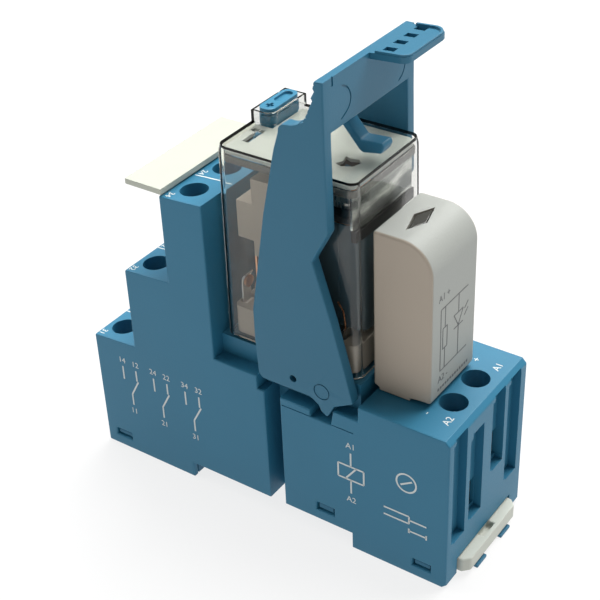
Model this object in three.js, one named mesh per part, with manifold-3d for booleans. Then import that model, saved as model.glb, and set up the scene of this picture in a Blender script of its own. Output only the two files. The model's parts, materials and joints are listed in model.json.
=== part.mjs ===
// Plug-in relay on a DIN rail socket, held by a retaining clip, with a plug-in coil module beside it.
// Millimetres, +Z up. +X runs from the contact terminals to the coil terminals, and the origin is on
// the rail seat, half way along the rail channel. Each sub-part is one named mesh in the group.
import * as THREE from "three";
import { mergeVertices } from "three/addons/utils/BufferGeometryUtils.js";
import Module from "manifold-3d";

const wasm = await Module();
wasm.setup();

// ---------- driving dimensions ----------
const GAP = 0.3; // clearance between neighbouring pieces

const SOCKET_LEFT = -39.3;
const SOCKET_RIGHT = 37;
const SOCKET_HALF = 13.5; // half the 27 mm width
const FOOT = -3.4; // underside of the feet
const SIDE_WALL = 1.1;
const RAIL_HALF = 17.9; // half the channel for a 35 mm rail
const SEAT_HALF = 14.8; // the pad that lies on the rail stops short of the hook and the rail clip
const CHAMBER_TOP = 4.4; // roof of the hollow above the base
const LIP_END = 39.2; // tips of the two lips below the rail clip

// Three steps of contact terminals, rising towards the relay. `top` is the height at the right edge.
const TIERS = [
  { name: "low", left: -39.3, right: -29.4, top: 22.9, screwX: -35.6 },
  { name: "mid", left: -29.4, right: -19.45, top: 40.45, screwX: -25.7 },
  { name: "top", left: -19.45, right: -10.5, top: 58.3, screwX: -15.3 },
];
const TIER_SLOPE = 0.07; // the steps tip down towards the wires
const POLE_PITCH = 9;
const POLES = [-1, 0, 1];

const COIL_BLOCK_LEFT = 19.5;
const COIL_BLOCK_TOP = 29;
const COIL_SCREW_X = 32.2;
const COIL_SCREW_Y = 3.8;

const SCREW_HOLE_R = 2.5;
const HEAD_R = 2.2;
const HEAD_TOP_DEPTH = 3.4; // top of the screw head below the step
const HEAD_HEIGHT = 2.2;
const SHANK_R = 1.5;
const CAGE = { x: 4.8, y: 5.6, z: 8, wall: 0.9, roof: 1.5 };
const SHAFT_HALF_X = 2.7;
const SHAFT_HALF_Y = 3.1;
const WIRE_HALF = 1.95; // half the width of a wire entry

const BAY_TOP = 31.3; // the relay stands just above this
const BAY_RIGHT = 18.4;
const BAY_HALF = 10.6;
const PIVOT_X = 12.3;
const PIVOT_Z = 29.2;
const PEG_R = 1.1;

const RELAY_BOTTOM = 31.7;
const RELAY_TOP = 68.5;
const COVER_WALL = 0.7;
const COVER_FOOT = { left: -9.7, right: 17.9, half: 10.35 };
const COVER_HEAD = { left: -9.4, right: 17.6, half: 10.05 };
const CROWN = { height: 1.2, inset: 0.25 }; // the cover's rim, above the head
const CORNER_R = 1.6;
const RELAY_POLE_PITCH = 6.2;
const PIN_BOTTOM = 25.3;
const PIN_WIDTH = 2.4;
const PIN_THICK = 0.8;
const NO_X = -7.2; // contact strips, and the pins below them
const NC_X = -1.6;
const COM_STUB_X = 1;
const COM_PIN_X = 5.2;
const COIL_PIN_X = 13.2;
const COIL_PIN_Y = 6.8;
const CONTACT_Z = 41.2;
const BLADE_X = -4.2;
const COIL_X = 10.6;
const BASE_TOP = 37.5;
const PLATE = { bottom: 66.9, top: 67.5 };
const YOKE_LEFT = 3.2;

const GUARD = { left: -9.2, right: -4.8, near: -0.1, far: 9.7, top: 70.5, wall: 0.4, corner: 1.8 };
const BUTTON = { left: -8.5, right: -5.5, near: 0.6, far: 9, bottom: 64.7, top: 70.9, corner: 1.2 };

const MODULE = { left: 19, right: 29.9, near: -7.6, far: 7.1, bottom: 29.8, top: 59.8, wall: 1 };
const MODULE_PIN_X = 24.4;
const MODULE_PIN_Y = [-3.6, 3.1];

const CLIP_HALF = 13.1; // outer face of each clip arm, from the clip's own middle
const ARM_INNER = 11;
const CLIP_SHIFT = -0.2; // the clip sits against one end of its side play
const BRIDGE = { left: 12.7, right: 14.3, bottom: 77, top: 85.9 };
const GRIP = { right: 21, near: -0.4, far: 12.3, thick: 1, rise: 0.5, firstRecess: 1.9, recessPitch: 3.05 };

// The windows that the base snaps into, and the groove down each long side.
const SNAP_WINDOWS = [
  { x: [-37, -33.1], z: [-1.1, 0.4] },
  { x: [10.5, 14.2], z: [2.2, 3.9] },
  { x: [30.3, 34], z: [-1.1, 0.4] },
];
const GROOVE = { x: [0.2, 3.5], depth: 4.6 };

const BLUE = 0x2f7fa8;
const CLIP_BLUE = 0x2c6f98;
const CREAM = 0xd9cfb8;

// ---------- shape helpers ----------
function toSolid(geometry) {
  geometry.deleteAttribute("normal");
  geometry.deleteAttribute("uv");
  const merged = mergeVertices(geometry, 1e-4);
  const mesh = new wasm.Mesh({
    numProp: 3,
    vertProperties: new Float32Array(merged.attributes.position.array),
    triVerts: new Uint32Array(merged.index.array),
  });
  return new wasm.Manifold(mesh);
}

function box([x0, x1], [y0, y1], [z0, z1]) {
  const geometry = new THREE.BoxGeometry(x1 - x0, y1 - y0, z1 - z0);
  geometry.translate((x0 + x1) / 2, (y0 + y1) / 2, (z0 + z1) / 2);
  return toSolid(geometry);
}

function shapeOf(points) {
  if (points instanceof THREE.Shape) {
    return points;
  }
  return new THREE.Shape(points.map(([a, b]) => new THREE.Vector2(a, b)));
}

// An outline in X and Z, run along Y from y0 to y1.
function prismY(points, y0, y1, curveSegments = 6) {
  const geometry = new THREE.ExtrudeGeometry(shapeOf(points), {
    depth: y1 - y0,
    bevelEnabled: false,
    curveSegments,
  });
  geometry.rotateX(Math.PI / 2);
  geometry.translate(0, y1, 0);
  return toSolid(geometry);
}

// An outline in X and Y, run upwards from z0 to z1.
function prismZ(points, z0, z1, curveSegments = 4) {
  const geometry = new THREE.ExtrudeGeometry(shapeOf(points), {
    depth: z1 - z0,
    bevelEnabled: false,
    curveSegments,
  });
  geometry.translate(0, 0, z0);
  return toSolid(geometry);
}

function rodZ(radius, [x, y], z0, z1, sides = 36) {
  const geometry = new THREE.CylinderGeometry(radius, radius, z1 - z0, sides);
  geometry.rotateX(Math.PI / 2);
  geometry.translate(x, y, (z0 + z1) / 2);
  return toSolid(geometry);
}

function rodY(radius, [x, z], y0, y1, sides = 24) {
  const geometry = new THREE.CylinderGeometry(radius, radius, y1 - y0, sides);
  geometry.translate(x, (y0 + y1) / 2, z);
  return toSolid(geometry);
}

function rodX(radius, [y, z], x0, x1, sides = 20) {
  const geometry = new THREE.CylinderGeometry(radius, radius, x1 - x0, sides);
  geometry.rotateZ(Math.PI / 2);
  geometry.translate((x0 + x1) / 2, y, z);
  return toSolid(geometry);
}

function roundedRectangle(left, right, near, far, radius) {
  const shape = new THREE.Shape();
  shape.moveTo(left + radius, near);
  shape.lineTo(right - radius, near);
  shape.absarc(right - radius, near + radius, radius, -Math.PI / 2, 0);
  shape.lineTo(right, far - radius);
  shape.absarc(right - radius, far - radius, radius, 0, Math.PI / 2);
  shape.lineTo(left + radius, far);
  shape.absarc(left + radius, far - radius, radius, Math.PI / 2, Math.PI);
  shape.lineTo(left, near + radius);
  shape.absarc(left + radius, near + radius, radius, Math.PI, Math.PI * 1.5);
  return shape;
}

// A rounded block whose plan rectangle changes from one level to the next. A level is
// { left, right, half, z }, and the corner radius is the lowest level's.
function taperedBlock(levels, radius) {
  const [low] = levels;
  const steps = levels.length - 1;
  const shape = roundedRectangle(low.left, low.right, -low.half, low.half, radius);
  const options = { depth: steps, steps, bevelEnabled: false, curveSegments: 4 };
  const geometry = new THREE.ExtrudeGeometry(shape, options);
  const position = geometry.attributes.position;
  for (let i = 0; i < position.count; i++) {
    const level = levels[Math.round(position.getZ(i))];
    const across = (position.getX(i) - low.left) / (low.right - low.left);
    const x = level.left + across * (level.right - level.left);
    position.setXYZ(i, x, (position.getY(i) * level.half) / low.half, level.z);
  }
  return toSolid(geometry);
}

// Both copies of a solid made by a function of the side, -1 near and +1 far.
function bothSides(make) {
  return make(-1).add(make(1));
}

function sideRange(side, inner, outer) {
  return side < 0 ? [-outer, -inner] : [inner, outer];
}

function around(centre, half) {
  return [centre - half, centre + half];
}

function cut(solid, pieces) {
  return pieces.reduce((rest, piece) => rest.subtract(piece), solid);
}

function join(pieces) {
  return pieces.reduce((whole, piece) => whole.add(piece));
}

// ---------- the assembly ----------
const group = new THREE.Group();

function addPart(name, solid, color, roughness, metalness = 0, position = [0, 0, 0]) {
  const { vertProperties, triVerts } = solid.getMesh();
  const geometry = new THREE.BufferGeometry();
  geometry.setAttribute("position", new THREE.BufferAttribute(new Float32Array(vertProperties), 3));
  geometry.setIndex(new THREE.BufferAttribute(new Uint32Array(triVerts), 1));
  const material = new THREE.MeshStandardMaterial({ color, roughness, metalness, flatShading: true });
  const mesh = new THREE.Mesh(geometry, material);
  mesh.name = name;
  mesh.position.set(...position);
  group.add(mesh);
  return mesh;
}

// ---------- terminals ----------
// One entry for each screw terminal: where its screw is, how high its step is there, how far the
// clamp hangs below the screw head, and which end face its wire comes in through.
function listTerminals() {
  const list = [];
  for (const tier of TIERS) {
    for (const pole of POLES) {
      list.push({
        name: `${tier.name}_${pole + 2}`,
        x: tier.screwX,
        y: pole * POLE_PITCH,
        top: tier.top - (tier.right - tier.screwX) * TIER_SLOPE,
        drop: 2.7,
        face: tier.left,
      });
    }
  }
  const coilTerminals = [["a1", 1, 3.4], ["a2", -1, 8.9]];
  for (const [name, side, drop] of coilTerminals) {
    const y = side * COIL_SCREW_Y;
    list.push({ name, x: COIL_SCREW_X, y, top: COIL_BLOCK_TOP, drop, face: SOCKET_RIGHT });
  }
  return list;
}

const TERMINALS = listTerminals();

function headBottom(terminal) {
  return terminal.top - HEAD_TOP_DEPTH - HEAD_HEIGHT;
}

// The screw stands on its own origin at the underside of its head.
function terminalScrew(shankLength) {
  const head = rodZ(HEAD_R, [0, 0], 0, HEAD_HEIGHT, 28);
  const shank = rodZ(SHANK_R, [0, 0], -shankLength, 0.2, 16);
  const recess = [HEAD_HEIGHT - 1, HEAD_HEIGHT + 1];
  const slot = box([-3, 3], [-0.35, 0.35], recess);
  const cross = box([-0.3, 0.3], [-1.4, 1.4], recess);
  return cut(head.add(shank), [slot, cross]);
}

// The clamp is a cage round the wire, with its origin at the middle of its roof.
function terminalClamp() {
  const body = box(around(0, CAGE.x / 2), around(0, CAGE.y / 2), [-CAGE.z, 0]);
  const opening = [-CAGE.z + CAGE.wall, -CAGE.roof];
  const mouth = box(around(0, CAGE.x), around(0, CAGE.y / 2 - CAGE.wall), opening);
  const hole = rodZ(SHANK_R + GAP, [0, 0], -CAGE.roof - 1, 1, 16);
  return cut(body, [mouth, hole]);
}

function addTerminals() {
  for (const { name, x, y, drop, ...step } of TERMINALS) {
    const seat = headBottom(step);
    const screw = terminalScrew(drop + 3.4);
    addPart(`terminal_screw_${name}`, screw, 0xb9b6ac, 0.35, 0.9, [x, y, seat]);
    addPart(`terminal_clamp_${name}`, terminalClamp(), 0xc2bca6, 0.4, 0.9, [x, y, seat - drop]);
  }
}

// The shaft that holds a terminal, its screw hole, and the slot its wire comes in through.
function terminalCavity(terminal) {
  const seat = headBottom(terminal) - GAP;
  const shaftX = around(terminal.x, SHAFT_HALF_X);
  const shaft = box(shaftX, around(terminal.y, SHAFT_HALF_Y), [CHAMBER_TOP - 1, seat]);
  const hole = rodZ(SCREW_HOLE_R, [terminal.x, terminal.y], seat - 1, terminal.top + 3);
  const cageBottom = headBottom(terminal) - terminal.drop - CAGE.z;
  const entryX = terminal.face < 0 ? [terminal.face - 1, terminal.x] : [terminal.x, terminal.face + 1];
  const entryZ = [cageBottom + CAGE.wall, cageBottom + CAGE.z - CAGE.roof];
  const entry = box(entryX, around(terminal.y, WIRE_HALF), entryZ);
  return join([shaft, hole, entry]);
}

// ---------- socket ----------
function socketOutline() {
  const [low, mid, top] = TIERS;
  const leftTop = (tier) => tier.top - (tier.right - tier.left) * TIER_SLOPE;
  return [
    [SOCKET_LEFT, FOOT],
    [-RAIL_HALF, FOOT],
    [-RAIL_HALF, 0],
    [RAIL_HALF, 0],
    [RAIL_HALF, FOOT],
    [SOCKET_RIGHT - 0.8, FOOT],
    [SOCKET_RIGHT, FOOT + 0.8],
    [SOCKET_RIGHT, COIL_BLOCK_TOP - 0.9],
    [SOCKET_RIGHT - 0.9, COIL_BLOCK_TOP],
    [COIL_BLOCK_LEFT, COIL_BLOCK_TOP],
    [COIL_BLOCK_LEFT, 26],
    [14.5, 26],
    [14, 23],
    [9.9, 23],
    [9.9, 24.5],
    [-1.2, 24.5],
    [-1.2, 27.35],
    [top.right, 27.35],
    [top.right, top.top],
    [top.left, leftTop(top)],
    [mid.right, mid.top],
    [mid.left, leftTop(mid)],
    [low.right, low.top],
    [low.left, leftTop(low)],
  ];
}

// The shallow slots above the wire entries, which guide the wires in.
function wireGuides() {
  const guides = [];
  for (const terminal of TERMINALS) {
    if (terminal.face < 0) {
      const depth = [terminal.face - 1, terminal.face + 0.6];
      const from = headBottom(terminal) - terminal.drop - 4;
      guides.push(box(depth, around(terminal.y, WIRE_HALF), [from, terminal.top - 4]));
    }
  }
  const depth = [SOCKET_RIGHT - 1.5, SOCKET_RIGHT + 1];
  guides.push(box(depth, [-5.6, -1.7], [6.5, 24.6]));
  guides.push(box(depth, [1.9, 5.7], [12, COIL_BLOCK_TOP - 1.5]));
  guides.push(box(depth, [-11.4, -7.5], [5.5, COIL_BLOCK_TOP - 1.5]));
  guides.push(box(depth, [7.5, 11.4], [5.8, COIL_BLOCK_TOP - 1.5]));
  return guides;
}

// The slots for the relay's and the module's pins, and the rooms for the spring contacts below them.
function pinSlots() {
  const slots = [];
  const addSlot = (x, y) => {
    slots.push(box(around(x, 0.8), around(y, 1.6), [23, BAY_TOP + 1]));
    slots.push(box(around(x, 1.5), around(y, 1.9), [CHAMBER_TOP - 1, 24.3]));
  };
  for (const pole of POLES) {
    for (const x of [NO_X, NC_X, COM_PIN_X]) {
      addSlot(x, pole * RELAY_POLE_PITCH);
    }
  }
  addSlot(COIL_PIN_X, -COIL_PIN_Y);
  addSlot(COIL_PIN_X, COIL_PIN_Y);
  for (const y of MODULE_PIN_Y) {
    slots.push(box(around(MODULE_PIN_X, 0.8), around(y, 1.7), [CHAMBER_TOP - 1, COIL_BLOCK_TOP + 1]));
  }
  return slots;
}

function socketHousing() {
  const outer = prismY(socketOutline(), -SOCKET_HALF, SOCKET_HALF);
  const bay = box([-11, BAY_RIGHT], [-BAY_HALF, BAY_HALF], [20, BAY_TOP]);
  const inside = SOCKET_HALF - SIDE_WALL;
  const chamber = join([
    box([-RAIL_HALF - 1.8, RAIL_HALF + 1.7], [-inside, inside], [-1, CHAMBER_TOP]),
    box([SOCKET_LEFT + SIDE_WALL, -RAIL_HALF], [-inside, inside], [FOOT - 1, CHAMBER_TOP]),
    box([RAIL_HALF, SOCKET_RIGHT - SIDE_WALL], [-inside, inside], [FOOT - 1, CHAMBER_TOP]),
  ]);
  const grooveBack = SOCKET_HALF - GROOVE.depth;
  const wallX = [GROOVE.x[0] - 1, GROOVE.x[1] + 1];
  const grooveWall = bothSides((side) =>
    box(wallX, sideRange(side, grooveBack - 0.8, SOCKET_HALF), [-2, CHAMBER_TOP + 1]));
  const cuts = [chamber.subtract(grooveWall), ...wireGuides(), ...pinSlots()];
  cuts.push(bothSides((side) => box(GROOVE.x, sideRange(side, grooveBack, 20), [-5, 26])));
  for (const terminal of TERMINALS) {
    cuts.push(terminalCavity(terminal));
  }
  for (const { x, z } of SNAP_WINDOWS) {
    cuts.push(box(x, [-20, 20], z).subtract(box([-50, 50], around(0, inside - 1), [-5, 5])));
  }
  // The holes for the clip's pegs, the rooms for its lifting lugs and the doorway for the rail clip.
  cuts.push(bothSides((side) => rodY(PEG_R + GAP, [PIVOT_X, PIVOT_Z], ...sideRange(side, 9.1, 11))));
  cuts.push(bothSides((side) => box([7.4, 10.6], sideRange(side, 9.2, 11), [28.9, BAY_TOP + 1])));
  cuts.push(box([SOCKET_RIGHT - 2, SOCKET_RIGHT + 1], [-9.7, 9.7], [FOOT - 1, 0.8]));
  cuts.push(box([-20, -18.15], [-8.3, 8.3], [55, 56.7]));
  return cut(outer.add(bay), cuts);
}

function socketBase() {
  const inside = SOCKET_HALF - SIDE_WALL - GAP;
  const hook = [
    [-RAIL_HALF - 1.5, 2],
    [-RAIL_HALF - 1.5, FOOT],
    [-16.4, FOOT],
    [-15.3, -2.5],
    [-15.3, -1.6],
    [-15.9, -1.3],
    [-RAIL_HALF, -1.3],
    [-RAIL_HALF, 2],
  ];
  const pieces = [
    box([-SEAT_HALF, SEAT_HALF], [-inside, inside], [0, 1]),
    box([-RAIL_HALF - 1.5, RAIL_HALF + 1.4], [-inside, inside], [0.3, 2]),
    box([SOCKET_LEFT + SIDE_WALL + GAP, -RAIL_HALF - 1], [-inside, inside], [FOOT, -1.6]),
    box([-RAIL_HALF - 1.5, -RAIL_HALF], [-inside, inside], [FOOT, 2]),
    prismY(hook, -9, 9),
    box([RAIL_HALF, SOCKET_RIGHT - SIDE_WALL - GAP], [-inside, inside], [FOOT, 0.6]),
    box([RAIL_HALF, RAIL_HALF + 1.4], [-inside, inside], [FOOT, 2]),
  ];
  for (const { x, z } of SNAP_WINDOWS) {
    const snapX = [x[0] + GAP, x[1] - GAP];
    const snapZ = [z[0] + GAP, z[1] - GAP];
    const rootZ = [z[0] - 0.8, z[1] - GAP];
    pieces.push(bothSides((side) => box(snapX, sideRange(side, inside - 1.2, inside + 1), snapZ)));
    pieces.push(bothSides((side) => box(snapX, sideRange(side, inside - 1.2, inside), rootZ)));
  }
  const grooveX = [GROOVE.x[0] - 1.3, GROOVE.x[1] + 1.3];
  const grooveBack = SOCKET_HALF - GROOVE.depth;
  const cuts = [
    bothSides((side) => box(grooveX, sideRange(side, grooveBack - 1.1, 20), [-1, 5])),
    // The channel for the rail clip, open below.
    box([RAIL_HALF - 1, SOCKET_RIGHT], [-6.4, 6.4], [FOOT - 1, -0.9]),
    box([33.5, SOCKET_RIGHT], [-9.6, 9.6], [FOOT - 1, 0.7]),
  ];
  const body = cut(join(pieces), cuts);
  // Two lips hold the rail clip up from below.
  const lips = [-4.4, 4.4].map((y) => box([22, LIP_END], around(y, 1.7), [FOOT, FOOT + 0.6]));
  const bridges = box([22, 24], [-7, 7], [FOOT, FOOT + 0.6]);
  return join([body, bridges, ...lips]);
}

// ---------- rail clip ----------
function railClip() {
  const low = FOOT + 0.9;
  const headLeft = 34;
  const headRight = 38.9;
  const head = prismZ(
    [
      [headLeft, -9.3],
      [headRight - 1.2, -9.3],
      [headRight, -8],
      [headRight, 8],
      [headRight - 1.2, 9.3],
      [headLeft, 9.3],
    ],
    low,
    0.4,
  );
  const tongue = prismY(
    [
      [15.4, low],
      [16.4, low - 0.3],
      [20, low],
      [36, low],
      [36, -1.2],
      [16.2, -1.2],
      [15.4, -1.6],
    ],
    -6,
    6,
  );
  const toolSlot = box([36.6, 38.1], around(0, 1.9), [-0.9, 2]);
  return head.add(tongue).subtract(toolSlot);
}

// ---------- marker tag ----------
function markerTag() {
  const plate = box([-26.7, -18.9], [-SOCKET_HALF, SOCKET_HALF], [58, 59.1]);
  const web = box([-21, -19.8], [-8, 8], [55.4, 58.2]);
  const tongue = box([-21, -18.5], [-8, 8], [55.4, 56.3]);
  return join([plate, web, tongue]);
}

// ---------- retaining clip ----------
function armOutline() {
  const shape = new THREE.Shape();
  shape.moveTo(BRIDGE.right, BRIDGE.top);
  shape.lineTo(BRIDGE.left, BRIDGE.top);
  // Finger serrations down the back edge, then the shoulder's hollow curve.
  shape.lineTo(12.4, 84.6);
  shape.lineTo(12.7, 84.3);
  shape.lineTo(12, 83);
  shape.lineTo(12.3, 82.7);
  shape.lineTo(11.5, 81);
  shape.quadraticCurveTo(10.6, 77.9, 7.4, 77.6);
  shape.quadraticCurveTo(6.2, 77.6, 5.9, 76.4);
  // The long back edge, leaning away from the relay's contact side.
  shape.lineTo(4.8, 72.8);
  shape.lineTo(2.1, 60.6);
  shape.lineTo(-1.2, 41.2);
  shape.lineTo(-1.2, 35);
  shape.lineTo(-0.8, 28.8);
  shape.quadraticCurveTo(-0.6, 27.3, 1.2, 27.2);
  shape.lineTo(10, 27.2);
  // The toe below the pivot, and the heel that stops on the ledge.
  shape.quadraticCurveTo(11.4, 26.9, 12, 25);
  shape.lineTo(13.3, 24.2);
  shape.lineTo(14.7, 26.9);
  shape.lineTo(18.5, 29);
  shape.lineTo(16.3, 37.6);
  shape.lineTo(14.6, 43.9);
  shape.lineTo(11.3, 54.6);
  shape.lineTo(14.5, 60.5);
  shape.lineTo(14.3, 75);
  shape.lineTo(BRIDGE.right, BRIDGE.bottom);
  return shape;
}

// The thumb grip rises slightly towards its edge, and its far corner is rounded.
function thumbGrip() {
  const left = BRIDGE.left + 0.5;
  const outline = new THREE.Shape();
  outline.moveTo(left, GRIP.near);
  outline.lineTo(GRIP.right, GRIP.near);
  outline.lineTo(GRIP.right, GRIP.far - 2.2);
  outline.quadraticCurveTo(GRIP.right, GRIP.far - 0.4, GRIP.right - 2.6, GRIP.far);
  outline.lineTo(left, GRIP.far);
  const profile = [
    [left, BRIDGE.top - GRIP.thick],
    [BRIDGE.right, BRIDGE.top - GRIP.thick],
    [GRIP.right + 1, BRIDGE.top - GRIP.thick + GRIP.rise],
    [GRIP.right + 1, BRIDGE.top + GRIP.rise],
    [BRIDGE.right, BRIDGE.top],
    [left, BRIDGE.top],
  ];
  const plate = prismZ(outline, 80, 90).intersect(prismY(profile, GRIP.near - 1, GRIP.far + 1));
  const recessZ = [BRIDGE.top - 0.4, BRIDGE.top + 2];
  const recesses = [0, 1, 2, 3].map((i) =>
    box([15.6, 17.6], around(GRIP.firstRecess + i * GRIP.recessPitch, 0.7), recessZ));
  return cut(plate, recesses);
}

// The springy finger that leans back under the bridge and holds the relay down with its foot.
function holdDownFinger() {
  const outline = [
    [12.9, 79],
    [12.9, 77.6],
    [10.7, 76.2],
    [10.4, 74.6],
    [13.1, 71.5],
    [17.2, 71.8],
    [17.5, 71.1],
    [16.9, 69.85],
    [13.6, 69.25],
    [12.9, 69.6],
    [9, 74.1],
    [9.6, 77.4],
    [11.4, 79],
  ];
  return prismY(outline, -1.4, 1.4);
}

function retainingClip() {
  const pieces = [
    bothSides((side) => prismY(armOutline(), ...sideRange(side, ARM_INNER, CLIP_HALF))),
    box([BRIDGE.left, BRIDGE.right], [-CLIP_HALF, CLIP_HALF], [BRIDGE.bottom, BRIDGE.top]),
    thumbGrip(),
    holdDownFinger(),
    bothSides((side) => rodY(PEG_R, [PIVOT_X, PIVOT_Z], ...sideRange(side, 9.4, ARM_INNER + 0.5))),
    // The lugs that lift the relay as the clip swings open.
    bothSides((side) => box([8, 9.4], sideRange(side, 9.6, ARM_INNER + 0.5), [29.6, BAY_TOP])),
  ];
  const pinHole = bothSides((side) => rodY(0.7, [6.5, 29.7], ...sideRange(side, 10, 15)));
  return join(pieces).subtract(pinHole);
}

// ---------- relay ----------
// A plan rectangle, moved inwards and set at a level.
function levelAt({ left, right, half }, inset, z) {
  return { left: left + inset, right: right - inset, half: half - inset, z };
}

// The wall round the test button rounds one corner, and stands in the far corner of the cover.
function guardOutline(inset) {
  const left = GUARD.left + inset;
  const right = GUARD.right - inset;
  const near = GUARD.near + inset;
  const far = GUARD.far - inset;
  const radius = GUARD.corner - inset;
  const shape = new THREE.Shape();
  shape.moveTo(left, near);
  shape.lineTo(right - radius, near);
  shape.absarc(right - radius, near + radius, radius, -Math.PI / 2, 0);
  shape.lineTo(right, far);
  shape.lineTo(left, far);
  return shape;
}

function relayCover() {
  const outer = taperedBlock(
    [
      levelAt(COVER_FOOT, 0, RELAY_BOTTOM),
      levelAt(COVER_HEAD, 0, RELAY_TOP - CROWN.height),
      levelAt(COVER_HEAD, CROWN.inset, RELAY_TOP),
    ],
    CORNER_R,
  );
  const roof = RELAY_TOP - COVER_WALL;
  const inner = taperedBlock(
    [levelAt(COVER_FOOT, COVER_WALL, RELAY_BOTTOM - 1), levelAt(COVER_HEAD, COVER_WALL, roof)],
    CORNER_R - 0.6,
  );
  const guard = prismZ(guardOutline(0), RELAY_TOP - COVER_WALL / 2, GUARD.top, 8);
  const opening = prismZ(guardOutline(GUARD.wall), roof - 1, GUARD.top + 1, 8);
  return cut(outer.add(guard), [inner, opening]);
}

function relayBase() {
  const body = prismZ(roundedRectangle(-8.3, 16.6, -9.1, 9.1, 1.2), 32, BASE_TOP);
  const cuts = [];
  const halfWidth = PIN_WIDTH / 2 + GAP;
  for (const pole of POLES) {
    const y = pole * RELAY_POLE_PITCH;
    cuts.push(box(around(NO_X, 0.7), around(y, halfWidth), [30, 40]));
    cuts.push(box(around(NC_X, 0.7), around(y, halfWidth), [30, 40]));
    cuts.push(box(around(COM_PIN_X, 0.7), around(y, halfWidth), [30, 35]));
    cuts.push(box([COM_STUB_X - 0.7, COM_PIN_X + 0.7], around(y, halfWidth), [33.5, 40]));
  }
  for (const side of [-1, 1]) {
    cuts.push(box(around(COIL_PIN_X, 0.7), around(side * COIL_PIN_Y, halfWidth), [30, 40]));
  }
  return cut(body, cuts);
}

// The white plate under the clear lid, with the flag's window, a keying slot and the button's opening.
function relayTopPlate() {
  const plate = prismZ(roundedRectangle(-8.4, 16.6, -9.05, 9.05, 1), PLATE.bottom, PLATE.top);
  const flagWindow = [
    [10.3, -4.5],
    [11.6, -4.8],
    [13.2, -4],
    [13.8, -2.3],
    [12.9, -1.5],
    [11.6, -2],
    [10.5, -1.6],
    [10.9, -3.2],
  ];
  const keySlot = [
    [-7, -5.8],
    [-5.7, -5.8],
    [-5.7, -1],
    [-8, -1],
    [-8, -1.9],
    [-7, -2.2],
  ];
  const opening = box([-9, BUTTON.right + GAP], [BUTTON.near - GAP, 10], [60, 70]);
  return cut(plate, [prismZ(flagWindow, 60, 70), prismZ(keySlot, 60, 70), opening]);
}

// A fixed contact: its pin, its upright strip and the rivet that faces the moving blade.
function fixedContact(x, y, facing, rivetEnd) {
  const strip = box(around(x, PIN_THICK / 2), around(y, PIN_WIDTH / 2), [PIN_BOTTOM, CONTACT_Z + 1.6]);
  const face = x + facing * 0.2;
  const rivet = rodX(1.1, [y, CONTACT_Z], Math.min(face, rivetEnd), Math.max(face, rivetEnd));
  return strip.add(rivet);
}

// The common contact's pin jogs inside the base and ends in a stub for the braid of its blade.
function commonContact(y) {
  const pinLeft = COM_PIN_X - PIN_THICK / 2;
  const pinRight = COM_PIN_X + PIN_THICK / 2;
  const stubLeft = COM_STUB_X - PIN_THICK / 2;
  const stubRight = COM_STUB_X + PIN_THICK / 2;
  const outline = [
    [pinLeft, PIN_BOTTOM],
    [pinRight, PIN_BOTTOM],
    [pinRight, 34.6],
    [stubRight, 34.6],
    [stubRight, 41],
    [stubLeft, 41],
    [stubLeft, 33.8],
    [pinLeft, 33.8],
  ];
  return prismY(outline, y - PIN_WIDTH / 2, y + PIN_WIDTH / 2);
}

function movingContact(y) {
  const blade = box(around(BLADE_X, 0.2), around(y, PIN_WIDTH / 2), [CONTACT_Z - 1.4, 54]);
  const rivet = rodX(1.1, [y, CONTACT_Z], BLADE_X - 0.8, BLADE_X + 0.9);
  return blade.add(rivet);
}

function contactCarrier() {
  const column = box([-3.6, 1.3], [-8.4, 8.4], [48.5, 63.2]);
  const noses = POLES.map((pole) => box([-6.8, -3], around(pole * RELAY_POLE_PITCH, 2.2), [51.4, 58.4]));
  const slots = POLES.map((pole) =>
    box(around(BLADE_X, 0.5), around(pole * RELAY_POLE_PITCH, PIN_WIDTH / 2 + GAP), [48, 54.3]));
  return cut(join([column, ...noses]), slots);
}

function yoke() {
  const upright = box([YOKE_LEFT, YOKE_LEFT + 1.4], [-7, 7], [37.8, 62.2]);
  const foot = box([YOKE_LEFT, 15.6], [-5, 5], [37.8, 39]);
  return upright.add(foot);
}

function armature() {
  const beam = box([1.6, 15.6], [-6.4, 6.4], [62.5, 63.5]);
  const leg = box([1.6, 2.6], [-6, 6], [50, 63]);
  return beam.add(leg);
}

function coilBobbin() {
  const flange = (z) => prismZ(roundedRectangle(5, 16.3, -6.2, 6.2, 1.5), z, z + 1.2);
  const tube = rodZ(3.7, [COIL_X, 0], 40, 59.5);
  return join([flange(39.4), tube, flange(58.6)]).subtract(rodZ(3.2, [COIL_X, 0], 38, 62));
}

function coilWinding() {
  return rodZ(5.4, [COIL_X, 0], 40.9, 58.3, 28).subtract(rodZ(4, [COIL_X, 0], 38, 60));
}

function coilCore() {
  const shank = rodZ(2.9, [COIL_X, 0], 39.3, 60.6);
  return shank.add(rodZ(4.6, [COIL_X, 0], 60.1, 61.4));
}

// The flag stands clear of its window until the armature rocks.
function statusFlag() {
  return box([13.3, 15.3], [-4.9, -2.3], [63.8, 65.8]);
}

// The test button, with an arm under the top plate that reaches to the free end of the armature.
function testButton() {
  const { left, right, near, far, bottom, top } = BUTTON;
  const lever = prismZ(roundedRectangle(left, right, near, far, BUTTON.corner), bottom, top);
  const arm = box([left + 0.3, 15.4], [-0.9, 1.3], [bottom, bottom + 1.1]);
  const foot = box([14.2, 15.4], [-0.9, 1.3], [bottom - 0.9, bottom + 0.3]);
  const crossX = (left + right) / 2;
  const crossY = near + 1.7;
  const cross = box(around(crossX, 0.75), around(crossY, 0.25), [top - 0.6, top + 1]).add(
    box(around(crossX, 0.25), around(crossY, 0.85), [top - 0.6, top + 1]),
  );
  return join([lever, arm, foot]).subtract(cross);
}

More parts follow.
